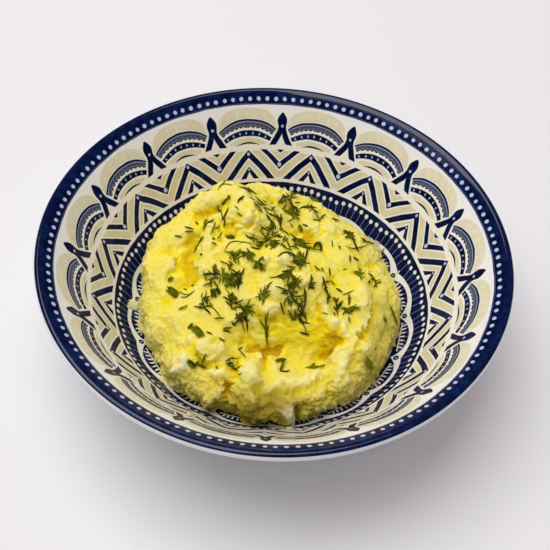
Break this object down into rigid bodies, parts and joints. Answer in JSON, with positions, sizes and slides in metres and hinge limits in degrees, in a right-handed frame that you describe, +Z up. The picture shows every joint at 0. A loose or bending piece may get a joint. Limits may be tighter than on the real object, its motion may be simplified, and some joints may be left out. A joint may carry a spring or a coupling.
{
  "type": "mashed potato side in a bowl",
  "caption": "Heap of buttered mashed potato with a spoon-pressed hollow, served in a deep round glazed bowl with a banded blue ornament.",
  "frame": {"origin": "on the table, under the middle of the bowl", "axes": "+Z up along the bowl's axis, -Y towards the side that the long front hollow faces"},
  "size_m": [0.2222, 0.2222, 0.06],
  "materials": {
    "glaze": "glossy cream glaze with a cobalt blue and sand ornament inside, plain white outside",
    "mash": null,
    "herb": null
  },
  "bodies": {
    "root": {"bowl": "glaze", "mashed_potato": "mash"}
  },
  "joints": []
}
